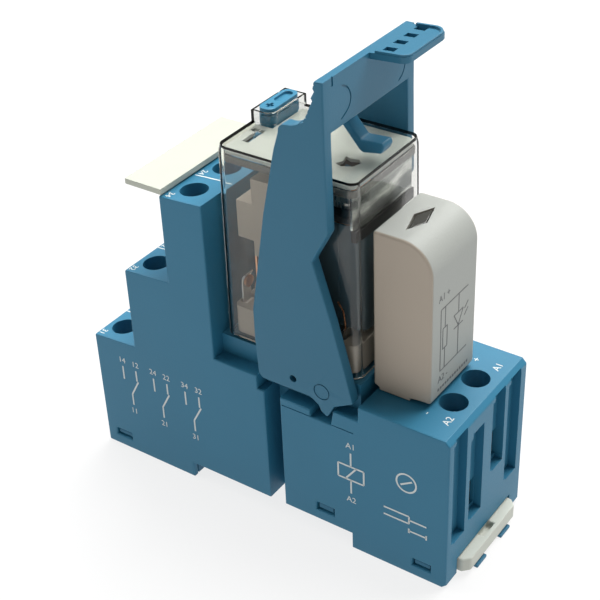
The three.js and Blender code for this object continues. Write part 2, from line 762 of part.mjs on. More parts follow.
function addRelay() {
  addPart("relay_cover", relayCover(), 0xdfe6e6, 0.1);
  addPart("relay_base", relayBase(), CREAM, 0.6);
  addPart("relay_top_plate", relayTopPlate(), 0xe4e3da, 0.5);
  for (const pole of POLES) {
    const y = pole * RELAY_POLE_PITCH;
    const number = pole + 2;
    addPart(`contact_no_${number}`, fixedContact(NO_X, y, 1, -6.5), 0xb98a4e, 0.35, 0.9);
    addPart(`contact_nc_${number}`, fixedContact(NC_X, y, -1, -3), 0xb98a4e, 0.35, 0.9);
    addPart(`contact_common_${number}`, commonContact(y), 0xb98a4e, 0.35, 0.9);
    addPart(`moving_contact_${number}`, movingContact(y), 0xb07a44, 0.35, 0.9);
  }
  for (const [name, side] of [["coil_pin_near", -1], ["coil_pin_far", 1]]) {
    const y = side * COIL_PIN_Y;
    const pin = box(around(COIL_PIN_X, PIN_THICK / 2), around(y, PIN_WIDTH / 2), [PIN_BOTTOM, 38.8]);
    addPart(name, pin, 0xc9c7bd, 0.35, 0.9);
  }
  addPart("contact_carrier", contactCarrier(), CREAM, 0.6);
  addPart("yoke", yoke(), 0xb4b6b6, 0.3, 0.9);
  addPart("armature", armature(), 0xb4b6b6, 0.3, 0.9);
  addPart("coil_bobbin", coilBobbin(), 0x2a2c2c, 0.5);
  addPart("coil_winding", coilWinding(), 0x9c5a33, 0.35, 0.6);
  addPart("coil_core", coilCore(), 0xb4b6b6, 0.3, 0.9);
  addPart("status_flag", statusFlag(), 0xd2691e, 0.5);
  addPart("test_button", testButton(), 0x5fc0e0, 0.4);
}

// ---------- coil module ----------
// The upper right edge is a large quarter round.
function moduleOutline(inset) {
  const left = MODULE.left + inset;
  const right = MODULE.right - inset;
  const top = MODULE.top - inset;
  const radius = 5.6 - inset;
  const shape = new THREE.Shape();
  shape.moveTo(left, MODULE.bottom - inset);
  shape.lineTo(right, MODULE.bottom - inset);
  shape.lineTo(right, top - radius);
  shape.absarc(right - radius, top - radius, radius, 0, Math.PI / 2);
  shape.lineTo(left, top);
  return shape;
}

function lensOutline(grow) {
  return [
    [23.3, -4 - grow * 2],
    [24.7 + grow, -0.9],
    [23.7, 3.2 + grow * 2],
    [22.2 - grow, 0.2],
  ];
}

function moduleCase() {
  const { near, far, wall } = MODULE;
  const skirt = box([20.2, 26], [near, far], [MODULE.bottom - 0.5, MODULE.bottom + 1]);
  const outer = prismY(moduleOutline(0), near, far, 10).add(skirt);
  const inner = prismY(moduleOutline(wall), near + wall, far - wall, 10).add(
    box([20.2, 26], [near + wall, far - wall], [MODULE.bottom - 2, MODULE.bottom + 1]),
  );
  return cut(outer, [inner, prismZ(lensOutline(0.3), 55, 62)]);
}

function moduleBase() {
  const { left, right, near, far, bottom, wall } = MODULE;
  const inset = wall + GAP;
  const plateX = [left + inset, right - inset];
  const plate = box(plateX, [near + inset, far - inset], [bottom + 0.2, bottom + 1.8]);
  const holes = MODULE_PIN_Y.map((y) => box(around(MODULE_PIN_X, 0.7), around(y, 1.6), [20, 40]));
  return cut(plate, holes);
}

function addModule() {
  addPart("module_case", moduleCase(), CREAM, 0.55);
  addPart("module_base", moduleBase(), CREAM, 0.6);
  addPart("module_lens", prismZ(lensOutline(0), 58.7, 59.7), 0x1d1f20, 0.15);
  const board = box(around(MODULE_PIN_X, 0.6), [-5.6, 5.1], [34, 56]);
  addPart("module_board", board, 0x2e6b46, 0.5);
  const led = rodZ(1.2, [23.5, 0], 56.3, 57.8, 14).add(rodZ(1.5, [23.5, 0], 56.3, 56.7, 14));
  addPart("module_led", led, 0x3d9a50, 0.2);
  MODULE_PIN_Y.forEach((y, index) => {
    const pin = box(around(MODULE_PIN_X, PIN_THICK / 2), around(y, 1.3), [25, 33.7]);
    addPart(`module_pin_${index + 1}`, pin, 0xc9c7bd, 0.35, 0.9);
  });
}

addPart("socket_housing", socketHousing(), BLUE, 0.5);
addPart("socket_base", socketBase(), BLUE, 0.55);
addPart("rail_clip", railClip(), CREAM, 0.5);
addPart("marker_tag", markerTag(), 0xf3f1e8, 0.5);
addTerminals();
addRelay();
addPart("retaining_clip", retainingClip(), CLIP_BLUE, 0.45, 0, [0, CLIP_SHIFT, 0]);
addModule();

export default group;
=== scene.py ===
import json
import math

import bmesh
import bpy
from mathutils import Matrix, Vector


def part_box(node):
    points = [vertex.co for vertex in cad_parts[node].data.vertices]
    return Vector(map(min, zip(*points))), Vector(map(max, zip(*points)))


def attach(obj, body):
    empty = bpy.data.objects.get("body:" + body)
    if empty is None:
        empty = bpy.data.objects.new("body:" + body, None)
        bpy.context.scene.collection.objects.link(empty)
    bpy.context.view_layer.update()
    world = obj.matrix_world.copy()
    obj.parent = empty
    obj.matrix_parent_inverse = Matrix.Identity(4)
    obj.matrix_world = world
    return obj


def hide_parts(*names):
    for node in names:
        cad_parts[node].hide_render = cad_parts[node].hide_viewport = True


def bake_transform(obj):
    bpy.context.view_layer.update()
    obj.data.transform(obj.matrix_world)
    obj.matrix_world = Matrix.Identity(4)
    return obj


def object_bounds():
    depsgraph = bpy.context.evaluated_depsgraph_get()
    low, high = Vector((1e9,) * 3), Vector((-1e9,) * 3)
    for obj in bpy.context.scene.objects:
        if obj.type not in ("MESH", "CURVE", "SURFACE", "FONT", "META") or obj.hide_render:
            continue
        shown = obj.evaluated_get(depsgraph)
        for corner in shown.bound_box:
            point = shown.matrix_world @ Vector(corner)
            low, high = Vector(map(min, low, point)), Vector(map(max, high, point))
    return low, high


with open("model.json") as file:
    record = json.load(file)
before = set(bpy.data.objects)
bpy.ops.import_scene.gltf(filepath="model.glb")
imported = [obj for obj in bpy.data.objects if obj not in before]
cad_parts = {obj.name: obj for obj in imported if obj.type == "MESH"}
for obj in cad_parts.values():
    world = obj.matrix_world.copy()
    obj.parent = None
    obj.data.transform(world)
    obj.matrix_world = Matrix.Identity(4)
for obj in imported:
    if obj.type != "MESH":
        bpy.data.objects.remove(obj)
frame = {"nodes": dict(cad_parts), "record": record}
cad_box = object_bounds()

MM = 0.001
NODES = frame["nodes"]
RECORD = frame["record"]
BODY_OF = {node: body for body, members in RECORD["behaviour"]["bodies"].items() for node in members}
SLOT_OF = {row["node"]: row["material_slot"] for row in RECORD["subparts"]}

# ---------- driving values, in millimetres and in the part's own frame ----------
EDGE = 0.28  # edge radius of the mouldings
SIDE = 13.5  # half the socket's width
BOTH_SIDES = ((-1, "near"), (1, "far"))
END_FACE = 37.5  # just outside the socket's coil end
SYMBOL_COLUMNS = (-31.5, -24, -16.5)  # the three changeover drawings on each long wall
POLE_PITCH = 9.0
RELAY_POLE_PITCH = 6.2
TIER_SLOPE = 0.07  # the terminal steps tip down towards the wires
HEAD_DEPTH = 3.4  # from a step down to its screw's head
HEAD_HEIGHT = 2.2
RELAY_SPRING_TOP, MODULE_SPRING_TOP = 30.6, 28.6  # upper ends of the spring contacts
PRINT_LIFT = 0.03  # thickness of printed ink
NUMBER_SIZE, COIL_MARK_SIZE, MODULE_MARK_SIZE = 1.7, 1.9, 1.8
WALL_LINE, MODULE_LINE = 0.32, 0.22  # widths of the printed lines
CLIP_SHIFT = -0.2  # the clip sits against one end of its side play
CLIP_FACE = 13.1  # outer face of a clip arm, from the clip's own middle
ARM_THICKNESS = 2.1
FINGER_HALF = 1.4  # half the hold-down finger's width
PIVOT = (12.3, 29.2)
BRIDGE_BACK, BRIDGE_FRONT = 12.7, 14.3
GRIP_TOP = 86.4
PIN_X = {"no": -7.2, "nc": -1.6, "common": 5.2}
COIL_PIN = (13.2, 6.8)
COIL_X = 10.6
COIL_TURNS = 46  # in the winding's outer layer
PULL_SPRING = (2.1, 6.55)  # axis of the far return spring
BUTTON_RIGHT = -5.5  # right-hand face of the test button's key
MODULE_PINS = ((24.4, -3.6), (24.4, 3.1))
END_SLOTS = (
    # near edge, far edge, lower end, upper end
    (-11.4, -7.5, 5.5, 27.5),
    (-5.6, -1.7, 6.5, 24.6),
    (1.9, 5.7, 12.0, 27.5),
    (7.5, 11.4, 5.8, 27.5),
)
TERMINAL_NUMBERS = {
    "top": ("34", "24", "14"),
    "mid": ("32", "22", "12"),
    "low": ("31", "21", "11"),
}

# ---------- camera, floor and light ----------
CAMERA_AT = Vector((115.95, -160.97, 168.9)) * MM
CAMERA_AZIMUTH = math.radians(35.99)
CAMERA_ELEVATION = math.radians(33.84)
CAMERA_ROLL = math.radians(-2.54)
CAMERA_LENS = 81.56
FLOOR_SIZE = 40.0  # in metres, so that its edge is far out of the picture


def make_camera():
    az, el, roll = CAMERA_AZIMUTH, CAMERA_ELEVATION, CAMERA_ROLL
    right = Vector((math.cos(az), math.sin(az), 0))
    back = Vector((math.sin(az) * math.cos(el), -math.cos(az) * math.cos(el), math.sin(el)))
    up = back.cross(right)
    turned_right = math.cos(roll) * right + math.sin(roll) * up
    turned_up = math.cos(roll) * up - math.sin(roll) * right
    data = bpy.data.cameras.new("camera")
    data.lens = CAMERA_LENS
    data.sensor_width = 36
    data.clip_start = 0.01
    camera = bpy.data.objects.new("camera", data)
    bpy.context.scene.collection.objects.link(camera)
    turn = Matrix((turned_right, turned_up, back)).transposed()
    camera.matrix_world = Matrix.Translation(CAMERA_AT) @ turn.to_4x4()
    bpy.context.scene.camera = camera


def make_floor(level):
    mesh = bpy.data.meshes.new("floor")
    half = FLOOR_SIZE / 2
    corners = [(-half, -half, level), (half, -half, level), (half, half, level), (-half, half, level)]
    mesh.from_pydata(corners, [], [(0, 1, 2, 3)])
    floor = bpy.data.objects.new("floor", mesh)
    bpy.context.scene.collection.objects.link(floor)
    material, _, shader = new_material("floor")
    shader.inputs["Base Color"].default_value = (0.15, 0.15, 0.15, 1)
    shader.inputs["Roughness"].default_value = 0.9
    shader.inputs["Specular IOR Level"].default_value = 0.1
    shader.inputs["Emission Color"].default_value = (1, 1, 1, 1)
    shader.inputs["Emission Strength"].default_value = 0.8
    mesh.materials.append(material)


def add_sun(name, direction, energy, spread, color):
    lamp = bpy.data.lights.new(name, "SUN")
    lamp.energy = energy
    lamp.angle = math.radians(spread)
    lamp.color = color
    sun = bpy.data.objects.new(name, lamp)
    bpy.context.scene.collection.objects.link(sun)
    sun.rotation_euler = Vector(direction).to_track_quat("Z", "Y").to_euler()


def make_lights():
    add_sun("key", (0.05, 0.55, 0.85), energy=5.0, spread=50, color=(1.0, 0.99, 0.97))
    add_sun("fill", (-0.75, 0.05, 0.65), energy=2.1, spread=60, color=(0.96, 0.99, 1.0))

    world = bpy.data.worlds.new("studio")
    bpy.context.scene.world = world
    world.use_nodes = True
    tree = world.node_tree
    background = tree.nodes["Background"]
    # The sky runs from a warm grey behind the terminals to a cooler one past the coil end.
    direction = add_split(tree, tree.nodes.new("ShaderNodeTexCoord").outputs["Generated"])
    ramp = add_ramp(tree, (0, (0.50, 0.48, 0.45)), (1, (0.60, 0.62, 0.62)))
    add_range(tree, direction["X"], ramp.inputs["Fac"], (-0.6, 0.9))
    tree.links.new(ramp.outputs["Color"], background.inputs["Color"])
    background.inputs["Strength"].default_value = 0.5
    bpy.context.scene.view_settings.view_transform = "Standard"
    bpy.context.scene.view_settings.look = "None"


# ---------- materials ----------
CLOUD_SCALE = 120  # faint cloudy variation, about a centimetre across
GRAIN_SCALE = 2600  # the grain of moulded plastic, under half a millimetre
LINE_SCALE = 3000  # the fine lines of rolled metal
TARNISH_SCALE = 350


def object_place(tree):
    """Where a point lies on its own piece."""
    return tree.nodes.new("ShaderNodeTexCoord").outputs["Object"]


def add_noise(tree, place, scale, detail):
    node = tree.nodes.new("ShaderNodeTexNoise")
    node.inputs["Scale"].default_value = scale
    node.inputs["Detail"].default_value = detail
    tree.links.new(place, node.inputs["Vector"])
    return node.outputs["Fac"]


def add_stretch(tree, place, scale, turn=(0, 0, 0)):
    node = tree.nodes.new("ShaderNodeMapping")
    node.inputs["Rotation"].default_value = turn
    node.inputs["Scale"].default_value = scale
    tree.links.new(place, node.inputs["Vector"])
    return node.outputs[0]


def add_range(tree, source, target, from_range=(0, 1), to_range=(0, 1)):
    node = tree.nodes.new("ShaderNodeMapRange")
    node.inputs["From Min"].default_value, node.inputs["From Max"].default_value = from_range
    node.inputs["To Min"].default_value, node.inputs["To Max"].default_value = to_range
    tree.links.new(source, node.inputs["Value"])
    tree.links.new(node.outputs[0], target)


def add_split(tree, source):
    """The X, Y and Z outputs of a vector."""
    node = tree.nodes.new("ShaderNodeSeparateXYZ")
    tree.links.new(source, node.inputs[0])
    return node.outputs


def add_ramp(tree, low, high):
    """A node that runs between two colours, each given with its place on the scale."""
    node = tree.nodes.new("ShaderNodeValToRGB")
    for end, (position, color) in zip(node.color_ramp.elements, (low, high)):
        end.position = position
        end.color = (*color, 1)
    return node


def add_bump(tree, source, shader, strength, distance):
    bump = tree.nodes.new("ShaderNodeBump")
    bump.inputs["Strength"].default_value = strength
    bump.inputs["Distance"].default_value = distance
    tree.links.new(source, bump.inputs["Height"])
    tree.links.new(bump.outputs["Normal"], shader.inputs["Normal"])


def shade(color, factor):
    return (*(min(1.0, channel * factor) for channel in color), 1)


def new_material(name):
    """A material, its node tree and its shader."""
    material = bpy.data.materials.new(name)
    material.use_nodes = True
    return material, material.node_tree, material.node_tree.nodes["Principled BSDF"]


def add_mix(tree, first, second):
    """A node that blends two colours by its factor."""
    mix = tree.nodes.new("ShaderNodeMix")
    mix.data_type = "RGBA"
    mix.inputs["A"].default_value = first
    mix.inputs["B"].default_value = second
    return mix


def plastic(name, color, roughness=0.45, grain=0.3, variation=0.04, coat=0.0, specular=0.3):
    """Moulded plastic: fine grain in the surface and a faint cloudy variation."""
    material, tree, shader = new_material(name)
    shader.inputs["IOR"].default_value = 1.5
    shader.inputs["Specular IOR Level"].default_value = specular
    shader.inputs["Coat Weight"].default_value = coat
    shader.inputs["Coat Roughness"].default_value = 0.2
    place = object_place(tree)
    fine = add_noise(tree, place, GRAIN_SCALE, 2)
    mottled = add_mix(tree, shade(color, 1 - variation), shade(color, 1 + variation))
    tree.links.new(add_noise(tree, place, CLOUD_SCALE, 3), mottled.inputs["Factor"])
    tree.links.new(mottled.outputs["Result"], shader.inputs["Base Color"])
    rough_range = (roughness - 0.06, roughness + 0.08)
    add_range(tree, fine, shader.inputs["Roughness"], to_range=rough_range)
    add_bump(tree, fine, shader, grain, 0.04 * MM)
    return material


def facing_tinted_plastic(name, warm, cool):
    """Pale plastic, warmer on the faces that point along Y and cooler on its top and ends."""
    material = plastic(name, warm, 0.5, variation=0.03)
    tree = material.node_tree
    shader = tree.nodes["Principled BSDF"]
    mottled = shader.inputs["Base Color"].links[0].from_socket
    # The colour follows which way each face points: the warm one on faces along Y, the cool one on the top
    # and ends.
    facing = add_split(tree, tree.nodes.new("ShaderNodeNewGeometry").outputs["Normal"])
    sideways = tree.nodes.new("ShaderNodeMath")
    sideways.operation = "ABSOLUTE"
    tree.links.new(facing["Y"], sideways.inputs[0])
    mixed = add_mix(tree, (*cool, 1), (*warm, 1))
    tree.links.new(mottled, mixed.inputs["B"])
    add_range(tree, sideways.outputs[0], mixed.inputs["Factor"], (0.1, 0.6))
    tree.links.new(mixed.outputs["Result"], shader.inputs["Base Color"])
    return material


def foil(name):
    """Thin bright sheet with painted reflections: light and dark streaks painted into its colour."""
    material = metal(name, (0.6, 0.62, 0.6), 0.2, lines_along=1, grain=0.05)
    tree = material.node_tree
    shader = tree.nodes["Principled BSDF"]
    slanted = add_stretch(tree, object_place(tree), (100, 75, 420), (math.radians(-38), 0, 0))
    # Painted reflections: slanted dark and bright bands in the base colour stand for the sheet mirroring
    # dark surroundings and the lamps.
    ramp = add_ramp(tree, (0.42, (0.10, 0.115, 0.115)), (0.66, (0.85, 0.87, 0.83)))
    tree.links.new(add_noise(tree, slanted, 1, 3), ramp.inputs["Fac"])
    tree.links.new(ramp.outputs["Color"], shader.inputs["Base Color"])
    return material


def metal(name, color, roughness=0.3, lines_along=2, grain=0.2):
    """Rolled or plated metal with fine lines along one axis and a little tarnish."""
    material, tree, shader = new_material(name)
    shader.inputs["Metallic"].default_value = 1.0
    place = object_place(tree)
    scale = [LINE_SCALE] * 3
    scale[lines_along] = CLOUD_SCALE
    lines = add_noise(tree, add_stretch(tree, place, scale), 1, 3)
    mixed = add_mix(tree, shade(color, 0.82), shade(color, 1.08))
    tree.links.new(add_noise(tree, place, TARNISH_SCALE, 4), mixed.inputs["Factor"])
    tree.links.new(mixed.outputs["Result"], shader.inputs["Base Color"])
    rough_range = (roughness - 0.08, roughness + 0.12)
    add_range(tree, lines, shader.inputs["Roughness"], to_range=rough_range)
    add_bump(tree, lines, shader, grain, 0.03 * MM)
    return material


def clear_plastic(name, color, shadow):
    """Clear moulding: lamps reach what is inside, and faint handling haze breaks up the gloss."""
    material, tree, shader = new_material(name)
    shader.inputs["Base Color"].default_value = (*color, 1)
    shader.inputs["Transmission Weight"].default_value = 1.0
    shader.inputs["IOR"].default_value = 1.35
    haze = add_noise(tree, object_place(tree), 160, 4)
    add_range(tree, haze, shader.inputs["Roughness"], (0.35, 0.75), (0, 0.025))
    through = tree.nodes.new("ShaderNodeBsdfTransparent")
    through.inputs["Color"].default_value = (*shadow, 1)
    path = tree.nodes.new("ShaderNodeLightPath")
    mix = tree.nodes.new("ShaderNodeMixShader")
    tree.links.new(path.outputs["Is Shadow Ray"], mix.inputs["Fac"])
    tree.links.new(shader.outputs[0], mix.inputs[1])
    tree.links.new(through.outputs[0], mix.inputs[2])
    tree.links.new(mix.outputs[0], tree.nodes["Material Output"].inputs["Surface"])
    return material


MATERIALS = {
    "socket_blue": plastic("socket_blue", (0.026, 0.166, 0.278), 0.45),
    "base_blue": plastic("base_blue", (0.023, 0.14, 0.24), 0.5),
    "clip_blue": plastic("clip_blue", (0.026, 0.145, 0.24), 0.42),
    "cream_plastic": plastic("cream_plastic", (0.53, 0.47, 0.40), 0.5, variation=0.03),
    "module_cream": facing_tinted_plastic("module_cream", (0.43, 0.37, 0.305), (0.36, 0.375, 0.355)),
    "rail_white": plastic("rail_white", (0.56, 0.58, 0.52), 0.45),
    "white_plastic": plastic("white_plastic", (0.49, 0.51, 0.445), 0.45, variation=0.02),
    "plate_white": plastic("plate_white", (0.45, 0.48, 0.45), 0.5, variation=0.02),
    "button_blue": plastic("button_blue", (0.045, 0.21, 0.34), 0.3, grain=0.15),
    "clear_cover": clear_plastic("clear_cover", (0.87, 0.87, 0.85), (0.52, 0.52, 0.50)),
    "dark_lens": plastic("dark_lens", (0.045, 0.045, 0.04), 0.12, grain=0.05, coat=0.5),
    "plated_steel": metal("plated_steel", (0.70, 0.69, 0.66), 0.26),
    "zinc_steel": metal("zinc_steel", (0.68, 0.66, 0.57), 0.36),
    "foil": foil("foil"),
    "contact_brass": metal("contact_brass", (0.72, 0.50, 0.29), 0.3),
    "contact_copper": metal("contact_copper", (0.80, 0.42, 0.25), 0.3),
    "contact_silver": metal("contact_silver", (0.95, 0.94, 0.90), 0.35, lines_along=1),
    "copper_wire": metal("copper_wire", (0.46, 0.20, 0.10), 0.25, lines_along=0),
    "black_plastic": plastic("black_plastic", (0.03, 0.03, 0.032), 0.4),
    "coil_tape": plastic("coil_tape", (0.06, 0.10, 0.125), 0.32, grain=0.0, coat=0.4),
    # Painted shade: the dark grey band inside the cover under the lid.
    "shade_band_grey": plastic("shade_band_grey", (0.10, 0.10, 0.09), 0.25, grain=0.05, coat=0.6),
    "board_green": plastic("board_green", (0.05, 0.22, 0.12), 0.3, grain=0.1),
    "led_green": plastic("led_green", (0.12, 0.45, 0.16), 0.1, grain=0.0, coat=0.6),
    "flag_orange": plastic("flag_orange", (0.75, 0.24, 0.05), 0.4),
    "white_print": plastic("white_print", (0.62, 0.66, 0.66), 0.5, grain=0.1),
    "grey_print": plastic("grey_print", (0.15, 0.155, 0.155), 0.5, grain=0.1),
}


# ---------- mesh helpers ----------
SHARP = 28  # degrees that the faces turn at an edge that gets rounded
WELD = 0.002  # corners closer than this are one


def new_object(name, mesh):
    piece = bpy.data.objects.new(name, mesh)
    bpy.context.scene.collection.objects.link(piece)
    return piece


def discard(piece):
    mesh = piece.data
    bpy.data.objects.remove(piece)
    bpy.data.meshes.remove(mesh)


def settle(piece):
    """Applies the piece's modifiers to its mesh."""
    graph = bpy.context.evaluated_depsgraph_get()
    mesh = bpy.data.meshes.new_from_object(piece.evaluated_get(graph), depsgraph=graph)
    piece.modifiers.clear()
    old = piece.data
    piece.data = mesh
    if old.users == 0:
        bpy.data.meshes.remove(old)


def tidy(mesh):
    """Joins the facets' corners and merges the triangles of each flat face into one."""
    work = bmesh.new()
    work.from_mesh(mesh)
    bmesh.ops.remove_doubles(work, verts=work.verts, dist=WELD * MM)
    bmesh.ops.dissolve_limit(work, angle_limit=math.radians(0.5), verts=work.verts, edges=work.edges)
    work.to_mesh(mesh)
    work.free()


def copy_of(node):
    """A new piece with the shape of a CAD node, ready to be cut and rounded."""
    mesh = NODES[node].data.copy()
    mesh.materials.clear()
    tidy(mesh)
    return new_object(node + "_detail", mesh)


def combine(piece, others, operation):
    for other in others:
        modifier = piece.modifiers.new(operation.lower(), "BOOLEAN")
        modifier.operation = operation
        modifier.solver = "MANIFOLD"
        modifier.object = other
        settle(piece)
        discard(other)
    tidy(piece.data)
    return piece


def carve(piece, *cutters):
    return combine(piece, cutters, "DIFFERENCE")


def weld(piece, *additions):
    return combine(piece, additions, "UNION")


def smooth(piece, angle=40):
    """Smooth shading that keeps sharp edges sharp and flat faces flat, with many-sided faces split first."""
    work = bmesh.new()
    work.from_mesh(piece.data)
    many_sided = [face for face in work.faces if len(face.verts) > 4]
    bmesh.ops.triangulate(work, faces=many_sided, ngon_method="BEAUTY")
    for face in work.faces:
        face.smooth = True
    for edge in work.edges:
        edge.smooth = len(edge.link_faces) == 2 and edge.calc_face_angle(0) < math.radians(angle)
    work.to_mesh(piece.data)
    work.free()
    modifier = piece.modifiers.new("flat", "WEIGHTED_NORMAL")
    modifier.mode = "FACE_AREA"
    modifier.weight = 100
    modifier.keep_sharp = True
    settle(piece)
    return piece


def soften(piece, width=EDGE, segments=2, clamp=True, chosen=None):
    """Rounds the sharp edges, as a mould does, or only the chosen ones among them."""
    modifier = piece.modifiers.new("round", "BEVEL")
    modifier.width = width * MM
    modifier.segments = segments
    modifier.limit_method = "ANGLE"
    modifier.angle_limit = math.radians(SHARP)
    modifier.use_clamp_overlap = clamp
    if chosen:
        modifier.limit_method = "WEIGHT"
        work = bmesh.new()
        work.from_mesh(piece.data)
        weight = work.edges.layers.float.new("bevel_weight_edge")
        for edge in work.edges:
            sharp = edge.calc_face_angle(0) > math.radians(SHARP)
            edge[weight] = float(sharp and chosen(*(vert.co / MM for vert in edge.verts)))
        work.to_mesh(piece.data)
        work.free()
    settle(piece)
    return smooth(piece)


def finish(piece, material, body=None, *replaced, slot=None):
    """Paints the piece, and makes it ride on its body and stand for the CAD nodes it replaces."""
    piece.data.materials.clear()
    piece.data.materials.append(MATERIALS[material])
    if body:
        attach(piece, body)
    if replaced:
        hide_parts(*replaced)
    return piece


def from_bmesh(name, work):
    bmesh.ops.recalc_face_normals(work, faces=work.faces)
    mesh = bpy.data.meshes.new(name)
    work.to_mesh(mesh)
    work.free()
    return new_object(name, mesh)


def prism(name, outline, axis, low, high):
    """An outline in the two other axes (in order X, Y, Z), run along the named axis."""
    work = bmesh.new()

    def place(u, v, w):
        point = [u, v]
        point.insert("XYZ".index(axis), w)
        return Vector(point) * MM

    ends = [[work.verts.new(place(u, v, w)) for u, v in outline] for w in (low, high)]
    work.faces.new(ends[0])
    work.faces.new(ends[1])
    for i in range(len(outline)):
        j = (i + 1) % len(outline)
        work.faces.new((ends[0][i], ends[0][j], ends[1][j], ends[1][i]))
    return from_bmesh(name, work)


def block(name, x, y, z):
    return prism(name, [(x[0], y[0]), (x[1], y[0]), (x[1], y[1]), (x[0], y[1])], "Z", *z)


def arc(centre, radius, start, end, steps):
    """Points on an arc, in degrees."""
    angles = [math.radians(start + (end - start) * i / steps) for i in range(steps + 1)]
    return [(centre[0] + radius * math.cos(a), centre[1] + radius * math.sin(a)) for a in angles]


def rounded(left, right, low, high, radius, steps=6):
    """A rectangle's outline with round corners."""
    corners = [
        ((right - radius, low + radius), -90),
        ((right - radius, high - radius), 0),
        ((left + radius, high - radius), 90),
        ((left + radius, low + radius), 180),
    ]
    return [point for centre, start in corners for point in arc(centre, radius, start, start + 90, steps)]


def stroke(points, width):
    """The outline of a line of constant width along some points."""
    path = [Vector(point) for point in points]
    left, right = [], []
    for i, point in enumerate(path):
        before = path[max(i - 1, 0)]
        after = path[min(i + 1, len(path) - 1)]
        along = (after - before).normalized()
        aside = Vector((-along.y, along.x)) * width / 2
        left.append(tuple(point + aside))
        right.append(tuple(point - aside))
    return left + right[::-1]


def lathe(name, profile, centre, axis="Z", steps=48):
    """Turns a closed profile of (radius, height) points about an axis through centre."""
    work = bmesh.new()
    first, second, third = {"Z": (0, 1, 2), "Y": (2, 0, 1), "X": (1, 2, 0)}[axis]
    rings = []
    for i in range(steps):
        angle = 2 * math.pi * i / steps
        ring = []
        for radius, height in profile:
            point = [0.0, 0.0, 0.0]
            point[first] = radius * math.cos(angle)
            point[second] = radius * math.sin(angle)
            point[third] = height
            ring.append(work.verts.new((Vector(point) + Vector(centre)) * MM))
        rings.append(ring)
    count = len(profile)
    for i in range(steps):
        here, there = rings[i], rings[(i + 1) % steps]
        for k in range(count):
            m = (k + 1) % count
            if profile[k][0] > 0 or profile[m][0] > 0:
                work.faces.new((here[k], there[k], there[m], here[m]))
    bmesh.ops.remove_doubles(work, verts=work.verts, dist=0.001 * MM)
    bmesh.ops.dissolve_degenerate(work, edges=work.edges, dist=0.0005 * MM)
    return from_bmesh(name, work)


def tube(name, points, radius, sides):
    """A round wire through the points, with flat ends."""
    work = bmesh.new()
    path = [Vector(point) for point in points]
    count = len(path)
    side = None
    rings = []
    for i, point in enumerate(path):
        before = path[max(i - 1, 0)]
        after = path[min(i + 1, count - 1)]
        along = (after - before).normalized()
        if side is None:
            side = along.orthogonal()
        side = (side - along * side.dot(along)).normalized()
        other = along.cross(side)
        angles = [2 * math.pi * k / sides for k in range(sides)]
        ring = [point + (side * math.cos(a) + other * math.sin(a)) * radius for a in angles]
        rings.append([work.verts.new(corner * MM) for corner in ring])
    for here, there in zip(rings, rings[1:]):
        for k in range(sides):
            m = (k + 1) % sides
            work.faces.new((here[k], here[m], there[m], there[k]))
    work.faces.new(rings[0])
    work.faces.new(rings[-1])
    return smooth(from_bmesh(name, work), 60)


def joined(name, pieces):
    """Several pieces as one object."""
    work = bmesh.new()
    for piece in pieces:
        work.from_mesh(piece.data)
        discard(piece)
    mesh = bpy.data.meshes.new(name)
    work.to_mesh(mesh)
    work.free()
    return new_object(name, mesh)


def moved(piece, offset):
    piece.data.transform(Matrix.Translation(Vector(offset) * MM))
    return piece


def corners_of(node):
    """The low and high corners of a CAD node's box, in millimetres."""
    return [Vector(corner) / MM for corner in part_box(node)]


def centre_of(node):
    low, high = corners_of(node)
    return (low + high) / 2


def lettering(name, text, size, at, right, up):
    """Printed characters as thin flat solids on a surface, centred at a point."""
    curve = bpy.data.curves.new(name, "FONT")
    curve.body = text
    curve.size = size * MM
    curve.extrude = PRINT_LIFT * MM
    curve.resolution_u = 4
    curve.align_x = "CENTER"
    curve.align_y = "CENTER"
    piece = bpy.data.objects.new(name, curve)
    bpy.context.scene.collection.objects.link(piece)
    graph = bpy.context.evaluated_depsgraph_get()
    mesh = bpy.data.meshes.new_from_object(piece.evaluated_get(graph), depsgraph=graph)
    bpy.data.objects.remove(piece)
    bpy.data.curves.remove(curve)
    right, up = Vector(right).normalized(), Vector(up).normalized()
    turn = Matrix((right, up, right.cross(up))).transposed().to_4x4()
    mesh.transform(Matrix.Translation(Vector(at) * MM) @ turn)
    work = bmesh.new()
    work.from_mesh(mesh)
    bmesh.ops.remove_doubles(work, verts=work.verts, dist=WELD * MM)
    work.to_mesh(mesh)
    work.free()
    return new_object(name, mesh)


# ---------- shared finishing ----------
def replace_node(piece, node, material=None):
    """Finishes a piece that stands for a CAD node."""
    slot = SLOT_OF[node]
    return finish(piece, material or slot, BODY_OF[node], node, slot=slot)


def dress(node, width=EDGE, segments=2, material=None):
    """A CAD node's shape with moulded edges and its finished material."""
    return replace_node(soften(copy_of(node), width, segments), node, material)


def ink(name, pieces, material, body):
    return finish(joined(name, pieces), material, body)


# ---------- socket ----------
def on_housing_outline(a, b):
    """The edges round the two long walls and those that run across the whole width."""
    return min(abs(a.y), abs(b.y)) > SIDE - 0.05


def make_housing():
    housing = soften(copy_of("socket_housing"), clamp=False, chosen=on_housing_outline)
    cutters = []
    for side in (-1, 1):
        # A fine mould line below the clip's foot.
        depth = sorted((side * (SIDE - 0.15), side * (SIDE + 1)))
        cutters.append(block("mould_line", (3.9, 18.6), depth, (23.0, 23.2)))
    for near, far, low, high in END_SLOTS:
        # One wall of each wire guide slopes, and its upper end runs out in a ramp.
        floor = END_FACE - 1.95
        slope = [(floor, near + 0.1), (END_FACE, near - 0.9), (END_FACE, near + 0.5)]
        cutters.append(prism("slope", slope, "Z", low + 0.4, high - 0.3))
        ramp = [(floor, high - 0.3), (END_FACE, high + 1.2), (END_FACE, high - 0.3)]
        cutters.append(prism("ramp", ramp, "Y", near + 0.15, far - 0.05))
    replace_node(smooth(carve(housing, *cutters)), "socket_housing")


